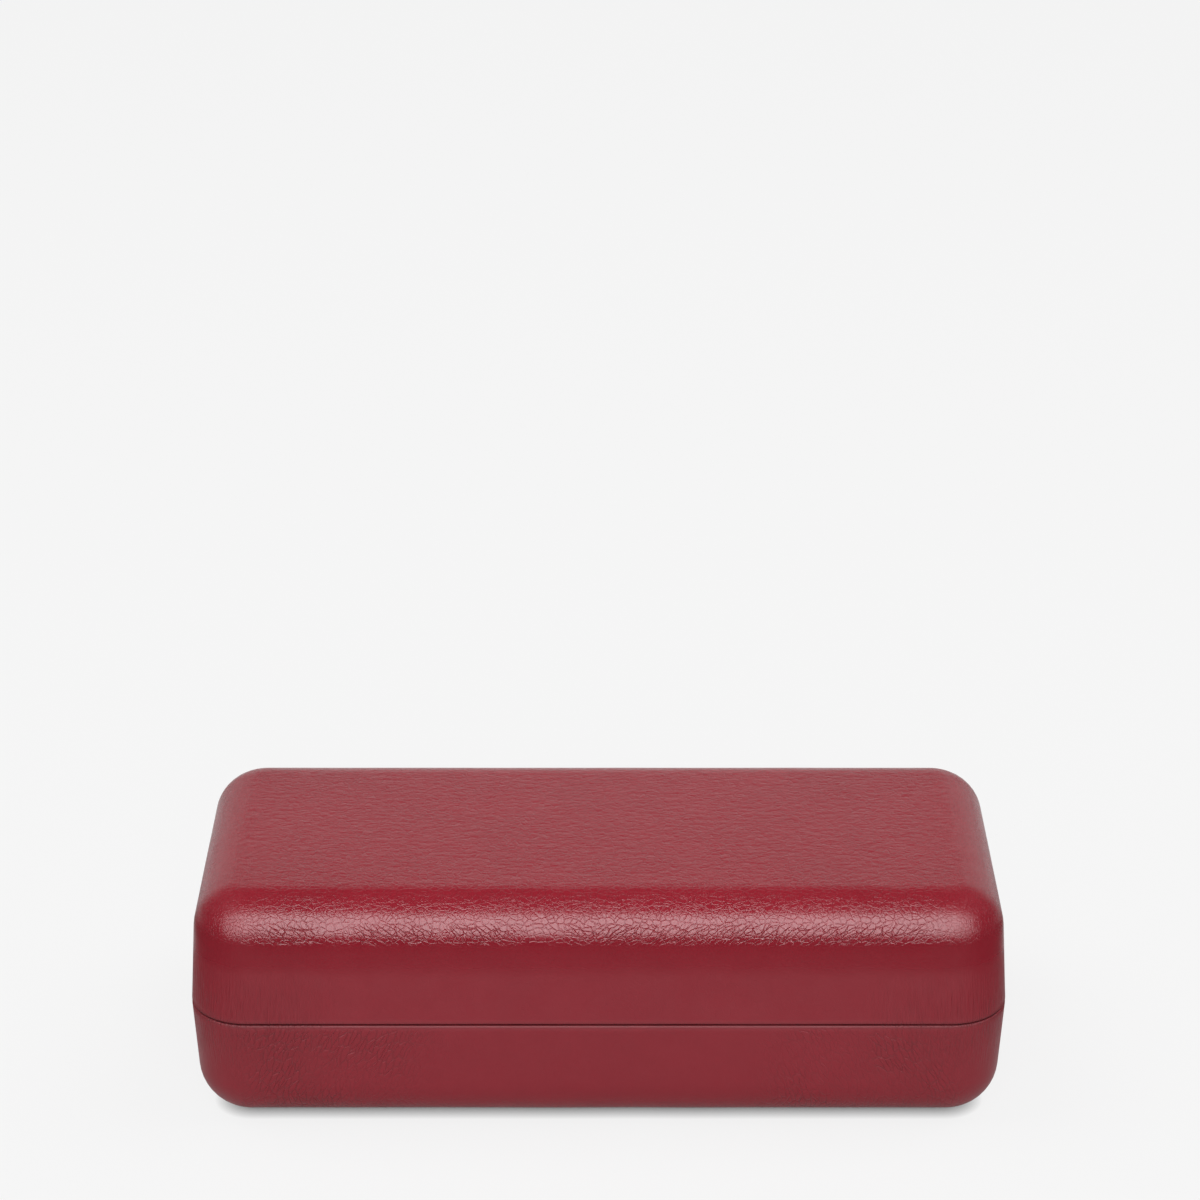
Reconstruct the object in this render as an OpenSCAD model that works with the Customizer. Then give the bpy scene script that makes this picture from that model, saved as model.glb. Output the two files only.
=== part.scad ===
// Hard clamshell case for sunglasses.
// Two moulded half shells are wrapped in leather and lined with a padded, suede-covered tray.
// They are joined by a riveted steel hinge whose two torsion springs pull the lid shut.
// Units are millimetres. The origin is the middle of the flat bottom, +X runs along the length,
// -Y is the front, and the hinge runs along X on the outer edge of the back wall.

/* [Case] */
// Outside length at the parting line
case_l = 165; // [150:1:185]
// Outside depth at the parting line
case_d = 72; // [64:1:85]
// Outside height
case_h = 50; // [46:0.5:58]
// Height of the parting line
parting_h = 24; // [22:0.5:28]
// Plan radius of the corners at the parting line
corner_r = 12; // [11.5:0.5:18]
// Lean of the side walls, in degrees
draft = 3.6; // [2:0.2:4.4]
// Radius of the edge round the top of the lid
lid_edge_r = 9.5; // [8.5:0.25:10]
// Radius of the edge round the bottom of the base
base_edge_r = 10; // [8.5:0.25:10.5]
// Gap between the closed rims
rim_gap = 0.3; // [0.25:0.05:0.7]

/* [Walls] */
// Thickness of the leather
leather_t = 0.9; // [0.7:0.05:1.1]
// Radius of the leather's fold at each edge of a rim
rim_fold_r = 0.35; // [0.2:0.05:0.6]
// Thickness of the moulded shells
shell_t = 1.4; // [1.2:0.05:1.8]
// Height of the leather turned in over each rim
turn_in_h = 5; // [4:0.5:8]
// Thickness of the foam pads
pad_t = 2; // [1:0.25:3]
// Thickness of the formed trays
tray_t = 0.6; // [0.4:0.05:0.9]
// Thickness of the suede lining
lining_t = 0.7; // [0.5:0.05:1]
// Height of the base tray's lip above the parting line
lip_h = 2; // [1:0.25:2.5]
// Room round the lip, between the tray and the turned-in leather
lip_room = 0.6; // [0.5:0.05:0.9]
// Distance from the parting line to the lid tray's rim
lid_tray_recess = 3; // [2.75:0.25:4]

/* [Hinge] */
// Half length of the middle knuckle, which is the base's
middle_half = 11; // [8:0.5:14]
// Length of each spring's place on the pin
spring_place = 13; // [12.5:0.5:16]
// Length of each of the lid's knuckles
lid_knuckle_l = 12; // [9:0.5:14]
// Length of each of the base's outer knuckles
base_knuckle_l = 12; // [9:0.5:14]
// Diameter of the hinge pin
pin_d = 2; // [1.8:0.1:2.2]
// Running clearance of the pin in the knuckles, on the radius
pin_clear = 0.05; // [0.02:0.01:0.1]
// Gap between neighbouring knuckles
knuckle_gap = 0.3; // [0.2:0.05:0.5]
// Thickness of the hinge leaves
leaf_t = 0.7; // [0.6:0.05:0.8]
// Height of each leaf below the hinge axis
leaf_h = 11.5; // [10.5:0.25:13]
// Thickness of the head at each end of the pin
pin_head_t = 0.5; // [0.3:0.05:0.8]

/* [Rivets] */
// Diameter of the rivets
rivet_d = 2; // [1.6:0.1:2.4]
// Diameter of the rivet heads
rivet_head_d = 3.6; // [3:0.1:4]
// Thickness of the rivet heads
rivet_head_t = 0.5; // [0.3:0.05:0.6]
// Distance of the rivets from the hinge axis
rivet_v = 7; // [6:0.25:8]

/* [Springs] */
// Diameter of the spring wire
wire_d = 0.7; // [0.5:0.05:0.75]
// Turns in each spring
spring_turns = 9; // [7:1:9]
// Distance from one turn to the next
spring_pitch = 1.15; // [1.15:0.01:1.2]
// Distance of the hooked ends from the hinge axis
hook_v = 9; // [8:0.25:9.5]

/* [Hidden] */
$fn = 96;

leather_red = [0.52, 0.10, 0.14];
shell_black = [0.16, 0.16, 0.17];
foam_grey = [0.55, 0.55, 0.57];
tray_black = [0.12, 0.12, 0.13];
suede_charcoal = [0.20, 0.19, 0.20];
steel_nickel = [0.74, 0.73, 0.70];
spring_steel = [0.60, 0.60, 0.62];

// Corner axes, where the rounded corners turn
corner_x = case_l / 2 - corner_r;
corner_y = case_d / 2 - corner_r;

// Depths of the two halves, each from its flat face to the parting line
base_depth = parting_h;
lid_depth = case_h - parting_h;

// Layers, measured inward from the outside of a wall
shell_in = leather_t + shell_t;
turn_in = shell_in + leather_t;
tray_in = turn_in + lip_room;
lining_in = tray_in + tray_t;
inside_in = lining_in + lining_t;

// Layers, measured inward from a flat face
tray_z = shell_in + pad_t;
lining_z = tray_z + tray_t;
inside_z = lining_z + lining_t;

arc_steps = 8;
glue = 0.1;
cut = 1;

// Hinge, measured from its axis
pin_r = pin_d / 2;
bore_r = pin_r + pin_clear;
knuckle_r = bore_r + leaf_t;
barrel_room = 0.35;
notch_v = knuckle_r + barrel_room;
leaf_top_room = 0.2;
leaf_top_v = notch_v + leaf_top_room;
leaf_in = shell_in - leaf_t;
spring_x = middle_half;
lid_knuckle_x = spring_x + spring_place;
base_knuckle_x = lid_knuckle_x + lid_knuckle_l;
hinge_half = base_knuckle_x + base_knuckle_l;
notch_half = hinge_half + pin_head_t + barrel_room;
turn_in_end_room = 2;
turn_in_half = notch_half + turn_in_end_room;
pocket_half = hinge_half + glue;
rivet_clear = 0.05;
rivet_x = [middle_half - rivet_head_d / 2, lid_knuckle_x + lid_knuckle_l / 2,
           base_knuckle_x + base_knuckle_l / 2];

// Arm of a knuckle, measured along the wall from the axis: where it leaves the outside and the inside
arm_outer_v = notch_v * 0.6;
arm_inner_v = notch_v * 0.8;
arm_foot_v = knuckle_r * 0.2;

// Springs
wire_r = wire_d / 2;
coil_room = 0.15;
coil_r = pin_r + coil_room + wire_r;
coil_x = spring_x + (spring_place - spring_turns * spring_pitch) / 2;
leg_clear = 0.05;
leg_u = shell_in + wire_r + leg_clear;
hook_bend_r = 0.7;
hook_clear = 0.1;
hook_hole_r = wire_r + hook_clear;
hook_end_u = leaf_in + hook_clear;
leg_slot_v = 4.2;
leg_slot_room = 0.4;
leg_slot_w = wire_d + 2 * leg_slot_room;

// Bends of a leg between its slot and the coil: distance in from the outside, and from the axis
leg_bends = [[leg_u, leg_slot_v + 0.3], [leg_u - 0.12, leg_slot_v - 0.4],
             [coil_r + 0.3, 1.5], [coil_r + 0.06, 0.7]];
wire_sides = 6;
steps_per_turn = 8;
wire_ends = [["base", coil_x], ["lid", coil_x + spring_turns * spring_pitch]];

// Distance from a corner axis to a wall surface that lies inset below the outside, at height z in a half
function wall_x(inset, z, depth) = corner_r - inset / cos(draft) - (depth - z) * tan(draft);

// Fillet of a tray, which follows the case's edge at its own depth
least_fillet_r = 0.5;
function tray_edge(edge_r) = max(edge_r - tray_z, tray_t + lining_t + least_fillet_r);

// Arc of points about a centre, from one angle to another
function arc(c, r, from, to) =
    [for (i = [0 : arc_steps]) let (a = from + (to - from) * i / arc_steps) c + r * [cos(a), sin(a)]];

// Outline of one half, from a corner axis along the flat, round the edge and up the leaning wall to top_z
function half_path(inset, floor_z, edge_r, depth, top_z) =
    let (cz = floor_z + edge_r, c = [wall_x(inset + edge_r, cz, depth), cz])
    concat([[0, floor_z]], arc(c, edge_r, -90, -draft), [[wall_x(inset, top_z, depth), top_z]]);

function reversed(list) = [for (i = [len(list) - 1 : -1 : 0]) list[i]];

// Wall of one half between two insets, open at the top
module wall_section(inset, floor_z, edge_r, thick, depth, top_z) {
    polygon(concat(half_path(inset, floor_z, edge_r, depth, top_z),
                   reversed(half_path(inset + thick, floor_z + thick, edge_r - thick, depth, top_z))));
}

// The leather: up the outside of the shell, over its rim and down inside it
module leather_section(edge_r, depth) {
    shell_top = depth - rim_gap / 2 - leather_t;
    fold_z = depth - rim_gap / 2 - rim_fold_r;
    low_z = shell_top - turn_in_h;
    outer = [wall_x(0, fold_z, depth) - rim_fold_r, fold_z];
    inner = [wall_x(turn_in, fold_z, depth) + rim_fold_r, fold_z];
    polygon(concat(
        half_path(0, 0, edge_r, depth, fold_z - rim_fold_r),
        arc(outer, rim_fold_r, 0, 90), arc(inner, rim_fold_r, 90, 180),
        [for (p = [[turn_in, low_z], [shell_in, low_z], [shell_in, shell_top]]) [wall_x(p[0], p[1], depth), p[1]]],
        reversed(half_path(leather_t, leather_t, edge_r - leather_t, depth, shell_top))));
}

// Strip that leans with the wall, from one inset to a deeper one
module wall_strip(inset, deeper, low_z, high_z, depth) {
    polygon([[wall_x(inset, low_z, depth), low_z], [wall_x(inset, high_z, depth), high_z],
             [wall_x(deeper, high_z, depth), high_z], [wall_x(deeper, low_z, depth), low_z]]);
}

// Carries a section round the four corners and along the four sides
module around() {
    for (turn = [0, 180]) rotate(turn) {
        translate([corner_x, corner_y, 0]) rotate_extrude(angle = 90) children();
        translate([-corner_x, corner_y, 0]) rotate(90) rotate_extrude(angle = 90) children();
        translate([-corner_x, corner_y, 0]) rotate([90, 0, 90]) linear_extrude(2 * corner_x) children();
        translate([corner_x, corner_y, 0]) rotate([90, 0, 0]) linear_extrude(2 * corner_y) children();
    }
}

// Plate between the four corner axes
module middle(low_z, high_z) {
    translate([-corner_x, -corner_y, low_z]) cube([2 * corner_x, 2 * corner_y, high_z - low_z]);
}

// Each half is drawn with its flat face down. The lid is then turned over.
module in_lid() {
    translate([0, 0, case_h]) mirror([0, 0, 1]) children();
}

// Frame of the hinge: the axis, with -Y into the wall and -Z along it, leaning with the base's wall
module at_base_hinge() {
    translate([0, case_d / 2, parting_h]) rotate([-draft, 0, 0]) children();
}

// The same frame turned over for the lid
module at_lid_hinge() {
    translate([0, case_d / 2, parting_h]) rotate([draft, 0, 0]) mirror([0, 0, 1]) children();
}

// Box along the hinge, given by its half length, the insets it lies between and the distances from the axis
module hinge_box(half, near_in, far_in, near_v, far_v) {
    translate([-half, -far_in, -far_v]) cube([2 * half, far_in - near_in, far_v - near_v]);
}

// Round hole or shank square to the wall, from one inset to a deeper one
module across_wall(x, v, r, near_in, far_in) {
    translate([x, -near_in, -v]) rotate([90, 0, 0]) cylinder(r = r, h = far_in - near_in);
}

// Room for the barrel, cut through both rims
module barrel_notch() {
    translate([0, case_d / 2, parting_h]) hinge_box(notch_half, -cut, turn_in + cut, -notch_v, notch_v);
}

// Places of the rivets along the hinge
module each_rivet() {
    for (side = [-1, 1], x = rivet_x) translate([side * x, 0, 0]) children();
}

// Leather of one half
module leather_half(depth, edge_r) {
    around() leather_section(edge_r, depth);
    middle(0, leather_t);
}

// Where the hinge lies, the leather isn't turned in
module turn_in_cut() {
    hinge_box(turn_in_half, leather_t + shell_t / 2, turn_in + 2 * cut, -cut, turn_in_h + leather_t + cut);
}

// Moulded shell of one half
module shell_half(depth, edge_r) {
    around() wall_section(leather_t, leather_t, edge_r - leather_t, shell_t, depth,
                          depth - rim_gap / 2 - leather_t);
    middle(leather_t, shell_in);
}

// Pocket for the leaf in the inner face of the shell, with the rivets' holes
module leaf_pocket() {
    hinge_box(pocket_half, leaf_in, shell_in + cut, 0, leaf_h + glue);
    each_rivet() across_wall(0, rivet_v, rivet_d / 2 + rivet_clear, 0, shell_in + cut);
}

// Foam pad on the flat of the shell
module pad_half(depth, edge_r) {
    around() translate([0, shell_in]) square([wall_x(edge_r, edge_r, depth), pad_t]);
    middle(shell_in, tray_z);
}

// Formed tray with a flange that closes the gap to the turned-in leather
module tray_half(depth, edge_r, rim_z, flange_z) {
    around() {
        wall_section(tray_in, tray_z, tray_edge(edge_r), tray_t, depth, rim_z);
        wall_strip(turn_in + glue, tray_in + tray_t / 2, flange_z - tray_t, flange_z, depth);
    }
    middle(tray_z, lining_z);
}

// Suede lining inside the tray
module lining_half(depth, edge_r, rim_z) {
    around() wall_section(lining_in, lining_z, tray_edge(edge_r) - tray_t, lining_t, depth, rim_z);
    middle(lining_z, inside_z);
}

// One knuckle with the arm that joins it to its leaf
module knuckle(from_x, to_x) {
    translate([from_x, 0, 0]) rotate([90, 0, 90]) linear_extrude(to_x - from_x) difference() {
        union() {
            circle(knuckle_r);
            polygon([[-bore_r, 0], [-knuckle_r, 0], [-shell_in, -arm_outer_v], [-shell_in, -leaf_top_v],
                     [-leaf_in, -leaf_top_v], [-leaf_in, -arm_inner_v], [-bore_r, -arm_foot_v]]);
        }
        circle(bore_r);
    }
}

// Leaf with knuckles at the places given, with holes for rivets and for the hooks of the springs
module hinge_leaf(knuckles, leg_x) {
    difference() {
        union() {
            hinge_box(hinge_half, leaf_in, shell_in, leaf_top_v, leaf_h);
            for (k = knuckles) knuckle(k[0] + knuckle_gap / 2, k[1] - knuckle_gap / 2);
        }
        each_rivet() across_wall(0, rivet_v, rivet_d / 2 + rivet_clear, 0, shell_in + cut);
        for (side = [-1, 1]) {
            across_wall(side * leg_x, hook_v, hook_hole_r, 0, shell_in + cut);
            translate([side * leg_x, 0, 0])
                hinge_box(leg_slot_w / 2, 0, shell_in + cut, leaf_top_v - cut, leg_slot_v);
        }
    }
}

// Rivets through leaf and shell, flush outside, with flat heads on the leaf
module rivets() {
    each_rivet() {
        across_wall(0, rivet_v, rivet_d / 2, leather_t, shell_in);
        across_wall(0, rivet_v, rivet_head_d / 2, shell_in, shell_in + rivet_head_t);
    }
}

// A point of a spring's leg, u in from the outside of the wall and v away from the axis, in the case's frame
function leg_point(end, u, v) =
    end[0] == "base"
        ? [end[1], case_d / 2 - u * cos(draft) - v * sin(draft), parting_h + u * sin(draft) - v * cos(draft)]
        : [end[1], case_d / 2 - u * cos(draft) - v * sin(draft), parting_h - u * sin(draft) + v * cos(draft)];

// A leg from its hook in the leaf to the coil
function leg_path(end) = concat(
    [for (u = [hook_end_u, leg_u - hook_bend_r]) leg_point(end, u, hook_v)],
    [for (a = [30 : 30 : 90]) leg_point(end, leg_u - hook_bend_r * (1 - sin(a)), hook_v - hook_bend_r * (1 - cos(a)))],
    [for (p = leg_bends) leg_point(end, p[0], p[1])]);

// The coil, which turns from the inner side over the top and round
function coil_path() = [
    for (i = [0 : spring_turns * steps_per_turn])
        let (a = 180 - i * 360 / steps_per_turn)
        [coil_x + i * spring_pitch / steps_per_turn,
         case_d / 2 + coil_r * cos(a), parting_h + coil_r * sin(a)]];

function spring_path() = concat(leg_path(wire_ends[0]), coil_path(), reversed(leg_path(wire_ends[1])));

function unit(v) = v / norm(v);
function tangent(path, i) = unit(path[min(i + 1, len(path) - 1)] - path[max(i - 1, 0)]);

// Normals carried along the path without twist
function normals(path, i = 0, so_far = []) =
    i == len(path) ? so_far
    : let (t = tangent(path, i), last = i == 0 ? [1, 0, 0] : so_far[i - 1])
      normals(path, i + 1, concat(so_far, [unit(last - (last * t) * t)]));

// Round wire along a path, as one closed tube
module wire(path) {
    count = len(path);
    normal = normals(path);
    points = [for (i = [0 : count - 1], s = [0 : wire_sides - 1])
        let (t = tangent(path, i), n = normal[i], b = cross(t, n), a = s * 360 / wire_sides)
        path[i] + wire_r * (cos(a) * n + sin(a) * b)];
    sides = [for (i = [0 : count - 2], s = [0 : wire_sides - 1], half = [0, 1])
        let (p = i * wire_sides + s, q = i * wire_sides + (s + 1) % wire_sides)
        half == 0 ? [p, p + wire_sides, q + wire_sides] : [p, q + wire_sides, q]];
    start = [[for (s = [0 : wire_sides - 1]) s]];
    end = [[for (s = [wire_sides - 1 : -1 : 0]) (count - 1) * wire_sides + s]];
    polyhedron(points = points, faces = concat(sides, start, end));
}

// Least gap between turns of a spring, measured on the points of its path that lie at least half a turn apart
spring_points = spring_path();
apart = steps_per_turn / 2 + 1;
least_gap = min([for (i = [0 : len(spring_points) - 1], j = [i + apart : 1 : len(spring_points) - 1])
    norm(spring_points[i] - spring_points[j])]) - wire_d;
echo(least_spring_gap_mm = least_gap);

module base_leather() {
    color(leather_red) difference() {
        leather_half(base_depth, base_edge_r);
        barrel_notch();
        at_base_hinge() turn_in_cut();
    }
}

module base_shell() {
    color(shell_black) difference() {
        shell_half(base_depth, base_edge_r);
        barrel_notch();
        at_base_hinge() leaf_pocket();
    }
}

module base_floor_pad() {
    color(foam_grey) pad_half(base_depth, base_edge_r);
}

module base_tray() {
    color(tray_black) tray_half(base_depth, base_edge_r, base_depth + lip_h, base_depth - rim_gap / 2);
}

module base_lining() {
    color(suede_charcoal) lining_half(base_depth, base_edge_r, base_depth + lip_h);
}

module base_hinge_leaf() {
    color(steel_nickel) at_base_hinge()
        hinge_leaf([[-hinge_half, -base_knuckle_x], [-middle_half, middle_half], [base_knuckle_x, hinge_half]],
                   wire_ends[0][1]);
}

module base_rivets() {
    color(steel_nickel) at_base_hinge() rivets();
}

module hinge_pin() {
    color(steel_nickel) translate([0, case_d / 2, parting_h]) rotate([0, 90, 0]) {
        cylinder(r = pin_r, h = 2 * hinge_half, center = true);
        for (side = [-1, 1])
            translate([0, 0, side * (hinge_half + pin_head_t / 2)])
                cylinder(r = (pin_r + knuckle_r) / 2, h = pin_head_t, center = true);
    }
}

module hinge_spring_right() {
    color(spring_steel) wire(spring_points);
}

module hinge_spring_left() {
    color(spring_steel) mirror([1, 0, 0]) wire(spring_points);
}

module lid_leather() {
    color(leather_red) difference() {
        in_lid() leather_half(lid_depth, lid_edge_r);
        barrel_notch();
        at_lid_hinge() turn_in_cut();
    }
}

module lid_shell() {
    color(shell_black) difference() {
        in_lid() shell_half(lid_depth, lid_edge_r);
        barrel_notch();
        at_lid_hinge() leaf_pocket();
    }
}

module lid_top_pad() {
    color(foam_grey) in_lid() pad_half(lid_depth, lid_edge_r);
}

module lid_tray() {
    color(tray_black) in_lid()
        tray_half(lid_depth, lid_edge_r, lid_depth - lid_tray_recess, lid_depth - lid_tray_recess);
}

module lid_lining() {
    color(suede_charcoal) in_lid() lining_half(lid_depth, lid_edge_r, lid_depth - lid_tray_recess);
}

module lid_hinge_leaf() {
    color(steel_nickel) at_lid_hinge()
        hinge_leaf([[-base_knuckle_x, -lid_knuckle_x], [lid_knuckle_x, base_knuckle_x]], wire_ends[1][1]);
}

module lid_rivets() {
    color(steel_nickel) at_lid_hinge() rivets();
}

base_leather();
base_shell();
base_floor_pad();
base_tray();
base_lining();
base_hinge_leaf();
base_rivets();
hinge_pin();
hinge_spring_left();
hinge_spring_right();
lid_leather();
lid_shell();
lid_top_pad();
lid_tray();
lid_lining();
lid_hinge_leaf();
lid_rivets();
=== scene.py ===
# %% [markdown]
# # A leather-covered case for sunglasses
# The real object is two stiff moulded shells, wrapped in red leather and lined with suede, that close
# like a clam on a small steel hinge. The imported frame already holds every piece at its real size.
# This script dresses that frame: it models the soft coverings again as finer meshes, gives every
# visible surface a finish of its own, and lights the case as in a plain catalogue picture.

# %% Load the frame
import math

import bpy
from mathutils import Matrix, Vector, noise


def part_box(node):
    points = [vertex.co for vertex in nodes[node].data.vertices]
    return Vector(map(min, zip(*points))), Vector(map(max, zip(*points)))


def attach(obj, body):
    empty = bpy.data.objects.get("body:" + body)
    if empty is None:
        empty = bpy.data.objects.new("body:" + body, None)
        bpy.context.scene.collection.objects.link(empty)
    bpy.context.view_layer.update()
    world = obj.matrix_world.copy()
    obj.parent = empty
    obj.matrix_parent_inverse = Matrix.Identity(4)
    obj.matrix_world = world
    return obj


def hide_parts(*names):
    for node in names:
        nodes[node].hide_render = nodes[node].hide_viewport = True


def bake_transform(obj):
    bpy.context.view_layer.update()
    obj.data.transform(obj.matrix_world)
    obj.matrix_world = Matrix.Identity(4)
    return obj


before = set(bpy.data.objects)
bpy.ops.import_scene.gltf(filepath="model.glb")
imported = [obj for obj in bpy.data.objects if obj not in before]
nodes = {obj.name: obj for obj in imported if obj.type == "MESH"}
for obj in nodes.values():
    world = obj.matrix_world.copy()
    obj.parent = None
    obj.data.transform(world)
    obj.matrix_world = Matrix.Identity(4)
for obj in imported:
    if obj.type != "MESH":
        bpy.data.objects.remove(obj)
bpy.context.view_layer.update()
MM = 0.001

# %% [markdown]
# ## The camera
# The picture was taken from the front and above with a long lens, so the sides of the case hardly
# converge. The camera looks along +Y and is aimed above the case, which then lies low in the frame.
# Aiming does this without a lens shift, so that views from other sides stay centred.

# %% Place the camera
CAMERA_PLACE = (0.00027, -0.6816, 0.4014)
CAMERA_PITCH = 23.77
CAMERA_LENS = 111.4

bpy.ops.object.select_all(action="DESELECT")
bpy.ops.object.camera_add(location=CAMERA_PLACE, rotation=(math.radians(90 - CAMERA_PITCH), 0, 0))
camera = bpy.context.object
camera.name = "camera"
camera.data.lens = CAMERA_LENS
camera.data.clip_start = 0.01
bpy.context.scene.camera = camera
print("camera distance to the case:", round(Vector(CAMERA_PLACE).length, 3), "m")

# %% [markdown]
# ## Sizes
# The outline at the parting line and the two depths come from the frame. The thin layers have the
# same thicknesses as the solids that they stand for, so each new piece fits the space of the old one.

# %% Take the sizes from the frame
CORNER_R = 12 * MM
DRAFT = math.radians(3.6)
BASE_EDGE_R = 10 * MM
LID_EDGE_R = 9.5 * MM
LEATHER = 0.9 * MM
SHELL = 1.4 * MM
SHELL_IN = LEATHER + SHELL
TURN_IN = SHELL_IN + LEATHER
TURN_IN_HEIGHT = 5 * MM
FOLD_R = 0.35 * MM
PAD = 2 * MM
LIP_ROOM = 0.6 * MM
TRAY_IN = TURN_IN + LIP_ROOM
TRAY = 0.6 * MM
LINING = 0.7 * MM
LIP_HEIGHT = 2 * MM
LID_RECESS = 3 * MM

base_low, base_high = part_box("base_leather")
lid_low, lid_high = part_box("lid_leather")
PARTING = (base_high[2] + lid_low[2]) / 2
RIM_GAP = lid_low[2] - base_high[2]
CASE_TOP = lid_high[2]
BASE_DEPTH = PARTING
LID_DEPTH = CASE_TOP - PARTING
widest_drop = RIM_GAP / 2 + FOLD_R
HALF_LENGTH = base_high[0] + widest_drop * math.tan(DRAFT)
HALF_DEPTH = -base_low[1] + widest_drop * math.tan(DRAFT)
print("half length and depth, mm:", round(HALF_LENGTH / MM, 2), round(HALF_DEPTH / MM, 2))
print("parting line and rim gap, mm:", round(PARTING / MM, 2), round(RIM_GAP / MM, 2))

# %% [markdown]
# ## One outline for all layers
# Leather, lining and pads all follow the same rounded rectangle, each a little further in. It is
# drawn once from a plane whose corners are bevelled and whose long edges are divided. The face is
# deleted, and what stays is a loop of edges that can be extruded along any section.

# %% Draw the outline as a loop of edges
STRAIGHT_STEP = 2.5 * MM
CORNER_STEPS = 20


def only(obj):
    bpy.ops.object.select_all(action="DESELECT")
    obj.select_set(True)
    bpy.context.view_layer.objects.active = obj


def outline(name):
    bpy.ops.object.select_all(action="DESELECT")
    bpy.ops.mesh.primitive_plane_add(size=2)
    obj = bpy.context.object
    obj.name = name
    obj.data.name = name
    obj.scale = (HALF_LENGTH, HALF_DEPTH, 1)
    bpy.ops.object.transform_apply(location=True, rotation=True, scale=True)
    bpy.ops.object.mode_set(mode="EDIT")
    bpy.ops.mesh.select_all(action="SELECT")
    bpy.ops.mesh.bevel(offset=CORNER_R, segments=CORNER_STEPS, affect="VERTICES")
    bpy.ops.mesh.select_all(action="SELECT")
    bpy.ops.mesh.delete(type="ONLY_FACE")
    bpy.ops.mesh.select_mode(type="EDGE")
    for axis, half in ((0, HALF_LENGTH), (1, HALF_DEPTH)):
        bpy.ops.mesh.select_all(action="DESELECT")
        bpy.ops.object.mode_set(mode="OBJECT")
        for edge in obj.data.edges:
            a, b = (obj.data.vertices[i].co for i in edge.vertices)
            edge.select = abs(a[axis] - b[axis]) > half
        bpy.ops.object.mode_set(mode="EDIT")
        bpy.ops.mesh.subdivide(number_cuts=int(2 * (half - CORNER_R) / STRAIGHT_STEP))
    bpy.ops.object.mode_set(mode="OBJECT")
    return obj


def inward(co):
    """How far a point of the outline moves for each metre of inset: a unit vector into the case."""
    corner_x = HALF_LENGTH - CORNER_R
    corner_y = HALF_DEPTH - CORNER_R
    nearest = Vector((max(-corner_x, min(corner_x, co.x)), max(-corner_y, min(corner_y, co.y)), 0))
    return (nearest - Vector((co.x, co.y, 0))).normalized()


# %% [markdown]
# ## Carrying a section round the outline
# A section is a list of rings. Each ring says how far in from the outline it lies, at what height,
# and, on the flats, how far it is shrunk towards the middle. The loop is extruded once for each ring
# and its new points are put in place. Two faces close the first and the last ring, so that every
# layer is a closed solid with a real thickness.
#
# A covering was a flat sheet before it was pulled over its shell. A UV map in metres keeps where each
# point lay on that sheet: the flat stays as it is, and the edge and walls lie straight outside it, so
# that a grain drawn on the sheet bunches up round the corners, as it does on a real covering.

# %% Extrude the outline along a section


def lay_out_sheet(obj, start, rings):
    """Write the UV map "sheet": where each point lay before the covering was pulled over its shell."""
    flat_inset = next(inset for inset, height, share in rings if share == 1)
    places = []
    reach = 0
    last = None
    for inset, height, share in rings:
        if share == 1:
            if last:
                reach += math.hypot(inset - last[0], height - last[1])
            last = (inset, height)
        for co in start:
            flat = co + inward(co) * (flat_inset - reach)
            places.append((flat.x * share, flat.y * share))
    layer = obj.data.uv_layers.new(name="sheet")
    for loop in obj.data.loops:
        layer.data[loop.index].uv = places[loop.vertex_index]


def sweep(name, rings):
    obj = outline(name)
    mesh = obj.data
    start = [v.co.copy() for v in mesh.vertices]
    count = len(start)

    def put(first, ring):
        inset, height, share = ring
        for i in range(count):
            flat = start[i] + inward(start[i]) * inset
            mesh.vertices[first + i].co = (flat.x * share, flat.y * share, height)

    only(obj)
    bpy.ops.object.mode_set(mode="EDIT")
    bpy.ops.mesh.select_all(action="SELECT")
    bpy.ops.mesh.edge_face_add()
    bpy.ops.mesh.select_mode(type="EDGE")
    for ring in rings[1:]:
        bpy.ops.mesh.extrude_edges_move()
    bpy.ops.mesh.edge_face_add()
    bpy.ops.object.mode_set(mode="OBJECT")
    for number, ring in enumerate(rings):
        put(number * count, ring)
    mesh.update()
    only(obj)
    bpy.ops.object.mode_set(mode="EDIT")
    bpy.ops.mesh.select_all(action="SELECT")
    bpy.ops.mesh.normals_make_consistent(inside=False)
    bpy.ops.object.mode_set(mode="OBJECT")
    lay_out_sheet(obj, start, rings)
    return obj


# %% [markdown]
# ## The section of a half shell
# Every layer runs along the flat, round an edge of constant radius and up a wall that leans inwards
# by a few degrees. The rings below follow that path for any layer, given how deep it lies in the wall.

# %% Rings along the flat, the edge and the wall
FLAT_SHARES = (0.12, 0.3, 0.48, 0.64, 0.78, 0.88, 0.95, 1)
WALL_STEP = 1.5 * MM
EDGE_STEPS = 12


def wall_inset(layer, height, depth):
    return layer / math.cos(DRAFT) + (depth - height) * math.tan(DRAFT)


def arc_rings(inset, height, radius, from_angle, to_angle, steps):
    rings = []
    for i in range(steps + 1):
        angle = math.radians(from_angle + (to_angle - from_angle) * i / steps)
        rings.append((inset - radius * math.cos(angle), height + radius * math.sin(angle), 1))
    return rings


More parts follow.
